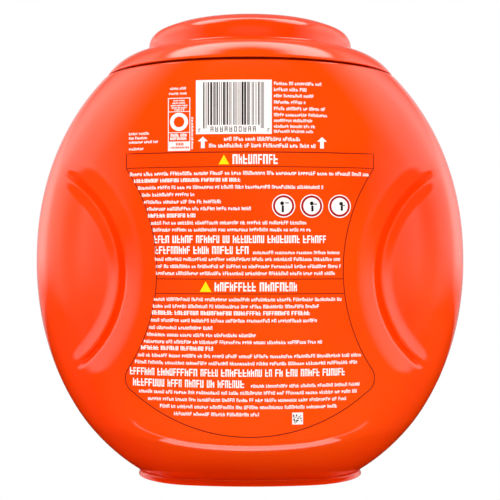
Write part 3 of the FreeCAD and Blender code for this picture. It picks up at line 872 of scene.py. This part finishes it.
def smallMarks(mesh, dice):
    s = marks
    seenFrame(mesh, *s["frame"], s["frameLine"], s["proud"])
    left, right = s["frame"][0] + s["dividerInset"], s["frame"][2] - s["dividerInset"]
    for level in s["dividers"]:
        seenBlock(mesh, left, level, right, level + s["dividerLine"], s["proud"])
    for level, left, right in s["tiny"]:
        while left < right:
            wide = dice.uniform(*s["tinyWide"])
            seenBlock(mesh, left, level, left + wide, level + dice.choice(s["tinyTall"]), s["proud"])
            left += wide + dice.choice(s["tinyGap"])
    seenRing(mesh, *s["ring"], s["proud"])
    seenBlock(mesh, *s["field"], s["proud"])
    left, right, level, end = s["strip"]
    while level < end:
        tall = dice.uniform(*s["stripTall"])
        seenBlock(mesh, left, level, right - dice.choice(s["stripShort"]), level + tall, s["proud"])
        level += tall + dice.choice(s["stripGap"])
    for middle, top, bottom in s["arrows"]:
        neck = top + s["arrowHead"]
        seenPeak(mesh, middle, top, neck, s["arrowHalf"], s["proud"])
        seenBlock(mesh, middle - s["stemHalf"], neck, middle + s["stemHalf"], bottom, s["proud"])
    for middle, level in s["discs"]:
        seenDisc(mesh, middle, level, s["discRadius"], s["proud"])
    seenBlock(mesh, *s["square"], s["proud"])


def buildWhitePrint():
    above, below = bmesh.new(), bmesh.new()
    addRows(above, rowsAbove + marks["bold"], seeds["above"])
    smallMarks(above, random.Random(seeds["marks"]))
    finishPrint(above, "printAbove", whiteInk)
    addRows(below, rowsBelow, seeds["below"])
    finishPrint(below, "printBelow", whiteInk)


buildWhitePrint()

# the code's white field with upright bars of chance widths, and a row of open shapes under it
codePrint = {
    "field": (195.9, 79.6, 271.8, 133.8), "proud": 0.06, "over": 0.1,
    "bars": (203.2, 263.9), "top": 81.8, "bottom": 124.8, "guard": 128.2, "guardReach": 4,
    "module": 0.64, "barWidths": (1, 1, 1, 2, 3), "barGaps": (1, 2, 2, 3),
    "row": (126.4, 131.6, 210.6, 257.0), "pace": 4.7, "stroke": 0.7, "across": 2.1, "half": 2.2,
    "ends": [(128.2, 131.8, 198.6, 200.6), (128.2, 131.8, 267.6, 269.6)],
}


def buildCode():
    s = codePrint
    over, stroke = s["over"], s["stroke"]
    field = bmesh.new()
    seenBlock(field, *s["field"], s["proud"])
    bmesh.ops.recalc_face_normals(field, faces=field.faces)
    piece = toPiece(field, "codeField", whiteInk, "tub")
    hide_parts("code_print_film")
    dice = random.Random(seeds["code"])
    bars = bmesh.new()
    start, end = s["bars"]
    left = start
    while left < end:
        wide = s["module"] * dice.choice(s["barWidths"])
        atEnd = left < start + s["guardReach"] or left > end - s["guardReach"]
        foot = s["guard"] if atEnd else s["bottom"]
        seenBlock(bars, left, s["top"], min(left + wide, end), foot, over)
        left += wide + s["module"] * dice.choice(s["barGaps"])
    top, bottom, left, right = s["row"]
    lowest, half = bottom - stroke, s["half"]
    while left < right:
        for upright in (left, left + s["across"]):
            seenBlock(bars, upright, top, upright + stroke, bottom, over)
        for level in dice.choice(((top, lowest), (top, top + half), (top + half, lowest))):
            seenBlock(bars, left + stroke, level, left + s["across"], level + stroke, over)
        left += s["pace"]
    for top, bottom, left, right in s["ends"]:
        seenBlock(bars, left, top, right, top + stroke, over)
        seenBlock(bars, left, top + stroke, left + stroke, bottom, over)
    finishPrint(bars, "codeBars", blackInk)


buildCode()

# the three discs' red bands and dark shapes, which shift a little from disc to disc, and the other colours
colourMarks = {
    "shift": 1.5, "head": (-1.5, -2.6, 1.9),
    "trunk": (-1.9, -0.4, 0.3, 6.4), "bar": (1.6, -3.4, 5.4, -2.5),
    "specks": 34, "speck": (0.6, 1.4), "speckFrom": 0.6, "speckTo": 1.8,
    "peaks": [(223.9, 154.6, 164.2, 5.3), (205.6, 281.6, 292.0, 5.8)],
    "rows": [(142.0, 144.8, 175.9, 182.4), (145.9, 147.9, 170.6, 187.8)],
    "rowWide": (0.7, 1.5), "rowGap": 0.5,
}


def buildColourMarks():
    s = colourMarks
    over = marks["over"]
    dark = bmesh.new()
    dice = random.Random(seeds["colours"])
    for k, (middle, level) in enumerate(marks["discs"]):
        moved = middle + s["shift"] * k
        x, y, radius = s["head"]
        seenDisc(dark, moved + x, level + y, radius, over)
        left, top, right, bottom = s["trunk"]
        seenBlock(dark, moved + left, level + top, moved + right, level + bottom - k, over)
        left, top, right, bottom = s["bar"]
        seenBlock(dark, middle + left, level + top + k, middle + right, level + bottom + k, over)
    left, top, right, bottom = marks["square"]
    for _ in range(s["specks"]):
        x = dice.uniform(left + s["speckFrom"], right - s["speckTo"])
        y = dice.uniform(top + s["speckFrom"], bottom - s["speckTo"])
        seenBlock(dark, x, y, x + dice.uniform(*s["speck"]), y + dice.uniform(*s["speck"]), over)
    finishPrint(dark, "printDark", blackInk)
    red = bmesh.new()
    for middle, level in marks["discs"]:
        seenRing(red, middle, level, marks["bandRadius"], marks["bandHalf"], over)
    finishPrint(red, "printRed", redInk)
    yellow = bmesh.new()
    for peak in s["peaks"]:
        seenPeak(yellow, *peak, marks["proud"])
    finishPrint(yellow, "printYellow", yellowInk)
    orange = bmesh.new()
    for top, bottom, left, right in s["rows"]:
        while left < right:
            wide = dice.uniform(*s["rowWide"])
            seenBlock(orange, left, top, left + wide, bottom, over)
            left += wide + s["rowGap"]
    finishPrint(orange, "printOrange", orangeInk)


buildColourMarks()
print("print rows made")

# camera, floor and lights
cameraSet = {"place": (0.0, -0.640, 0.125), "lens": 81.8, "sensor": 36.0}
lens = bpy.data.cameras.new("camera")
lens.lens = cameraSet["lens"]
lens.sensor_width = cameraSet["sensor"]
camera = bpy.data.objects.new("camera", lens)
camera.location = cameraSet["place"]
camera.rotation_euler = (math.radians(90), 0, 0)
bpy.context.scene.collection.objects.link(camera)
bpy.context.scene.camera = camera


def whiteToCamera(name, colour, roughness):
    material, tree = newMaterial(name)
    plain = addNode(tree, "ShaderNodeBsdfPrincipled", {
        "Base Color": linear(colour), "Roughness": roughness})
    glow = addNode(tree, "ShaderNodeEmission", {"Color": (1, 1, 1, 1), "Strength": 1.0})
    path = addNode(tree, "ShaderNodeLightPath")
    mixed = addNode(tree, "ShaderNodeMixShader", {
        0: path.outputs["Is Camera Ray"], 1: plain.outputs[0], 2: glow.outputs[0]})
    finishMaterial(tree, mixed)
    return material


floorLook = {"size": 3000, "colour": "#F6F6F6", "roughness": 0.6}
floorMesh = bmesh.new()
bmesh.ops.create_grid(floorMesh, x_segments=1, y_segments=1, size=floorLook["size"])
floorPaint = whiteToCamera("PaintedStudioFloor", floorLook["colour"], floorLook["roughness"])
floor = toPiece(floorMesh, "floor", floorPaint, None)
floor.visible_glossy = False

world = bpy.data.worlds.new("studio")
bpy.context.scene.world = world
world.use_nodes = True
skyTree = world.node_tree
skyTree.nodes.clear()
# shiny surfaces see the studio: a grey paper backdrop behind the tub, soft screens at its sides and a long
# soft box overhead; a slope is that of an edge, and a pair is where a fade starts and ends
studioLook = {
    "ambient": 0.5, "shown": 1.0,
    "backdrop": 0.42, "backdropSide": 0.46, "backdropTop": 2.5, "backdropFloor": -6.0,
    "backdropEdge": (-0.03, 0.03),
    "screens": 1.6, "frontSlope": 0.62, "frontLean": -0.35, "frontFade": (-0.2, 0.4),
    "backSlope": -1.2, "backFade": (-0.4, 0.3), "behind": 0.14,
    "floorFade": (-0.08, 0.0), "topFade": (0.72, 0.80),
    "boxMiddle": 3.0, "boxEnds": 5.6, "boxReach": 0.42,
    "boxFront": (-0.08, 0.04), "boxLow": (0.80, 0.84), "boxHigh": (0.945, 0.985),
}


def skyMath(operation, *values):
    return addNode(skyTree, "ShaderNodeMath", dict(enumerate(values)), operation=operation).outputs[0]


def skyRamp(value, fade, first, last):
    settings = {"Value": value, "From Min": fade[0], "From Max": fade[1],
                "To Min": first, "To Max": last}
    return addNode(skyTree, "ShaderNodeMapRange", settings).outputs["Result"]


def skyGlow(strength):
    glow = addNode(skyTree, "ShaderNodeBackground", {"Color": (1, 1, 1, 1), "Strength": strength})
    return glow.outputs[0]


def skyMix(share, first, second):
    return addNode(skyTree, "ShaderNodeMixShader", {0: share, 1: first, 2: second}).outputs[0]


def buildSky():
    s = studioLook
    place = addNode(skyTree, "ShaderNodeTexCoord")
    parts = addNode(skyTree, "ShaderNodeSeparateXYZ", {"Vector": place.outputs["Generated"]})
    y, z = parts.outputs["Y"], parts.outputs["Z"]
    across = skyMath("ABSOLUTE", parts.outputs["X"])
    upright = skyMath("MAXIMUM", skyMath("MULTIPLY", z, s["backdropTop"]),
                      skyMath("MULTIPLY", z, s["backdropFloor"]))
    edge = skyMath("MAXIMUM", skyMath("MULTIPLY", across, s["backdropSide"]), upright)
    backdrop = skyRamp(skyMath("SUBTRACT", y, edge), s["backdropEdge"], 0.0, s["backdrop"])
    toFront = skyMath("MULTIPLY_ADD", across, s["frontSlope"], y)
    leaning = skyMath("MULTIPLY_ADD", skyMath("MULTIPLY", z, z), s["frontLean"], toFront)
    toBack = skyMath("MULTIPLY_ADD", across, s["backSlope"], y)
    screens = skyMath("MULTIPLY", skyRamp(leaning, s["frontFade"], 0.0, s["screens"]),
                      skyRamp(toBack, s["backFade"], 1.0, s["behind"]))
    screens = skyMath("MULTIPLY", screens, skyRamp(z, s["floorFade"], 0.0, 1.0))
    screens = skyMath("MULTIPLY", screens, skyRamp(z, s["topFade"], 1.0, 0.0))
    box = skyMath("MULTIPLY", skyRamp(across, (0.0, s["boxReach"]), s["boxMiddle"], s["boxEnds"]),
                  skyRamp(y, s["boxFront"], 0.0, 1.0))
    box = skyMath("MULTIPLY", box, skyRamp(z, s["boxLow"], 0.0, 1.0))
    box = skyMath("MULTIPLY", box, skyRamp(z, s["boxHigh"], 1.0, 0.0))
    mirrored = skyMath("ADD", skyMath("ADD", screens, box), backdrop)
    ray = addNode(skyTree, "ShaderNodeLightPath")
    straight = skyMath("MAXIMUM", ray.outputs["Is Camera Ray"], ray.outputs["Is Transmission Ray"])
    shiny = skyMix(ray.outputs["Is Glossy Ray"], skyGlow(s["ambient"]), skyGlow(mirrored))
    addNode(skyTree, "ShaderNodeOutputWorld", {"Surface": skyMix(straight, shiny, skyGlow(s["shown"]))})


buildSky()

# the lamps that light the tub, and under its front edge two strips of pale floor that only its skin mirrors
lampSettings = {
    "leftBox": {"place": (-0.94, 0.64, 0.96), "aim": (0, 0.64, 0.17), "size": (1.5, 1.98),
                "power": 14.0, "glossy": False},
    "rightBox": {"place": (0.94, 0.64, 0.96), "aim": (0, 0.64, 0.17), "size": (1.5, 1.98),
                 "power": 14.0, "glossy": False},
    "backBox": {"place": (0, 0.70, 1.23), "aim": (0, -0.07, 0.23), "size": (1.2, 0.46),
                "power": 3.8, "glossy": False},
    "frontFill": {"place": (0, -2.0, 1.3), "aim": (0, 0, 0.12), "size": (1.6, 1.2),
                  "power": 27.0, "glossy": False},
    "floorGlow": {"place": (0, -0.0785, 0.001), "aim": (0, -0.0785, 0.5), "size": (0.13, 0.022),
                  "power": 0.036, "diffuse": False},
    "floorLine": {"place": (0, -0.087, 0.0012), "aim": (0, -0.087, 0.5), "size": (0.25, 0.005),
                  "power": 0.012, "diffuse": False},
}
for name, lamp in lampSettings.items():
    light = bpy.data.lights.new(name, "AREA")
    light.shape = "RECTANGLE"
    light.size, light.size_y = lamp["size"]
    light.energy = lamp["power"]
    holder = bpy.data.objects.new(name, light)
    holder.location = lamp["place"]
    aim = Vector(lamp["aim"]) - Vector(lamp["place"])
    holder.rotation_euler = aim.to_track_quat("-Z", "Y").to_euler()
    holder.visible_glossy = lamp.get("glossy", True)
    holder.visible_diffuse = lamp.get("diffuse", True)
    holder.visible_camera = False
    bpy.context.scene.collection.objects.link(holder)
bpy.context.scene.view_settings.view_transform = "Standard"
print("studio made")
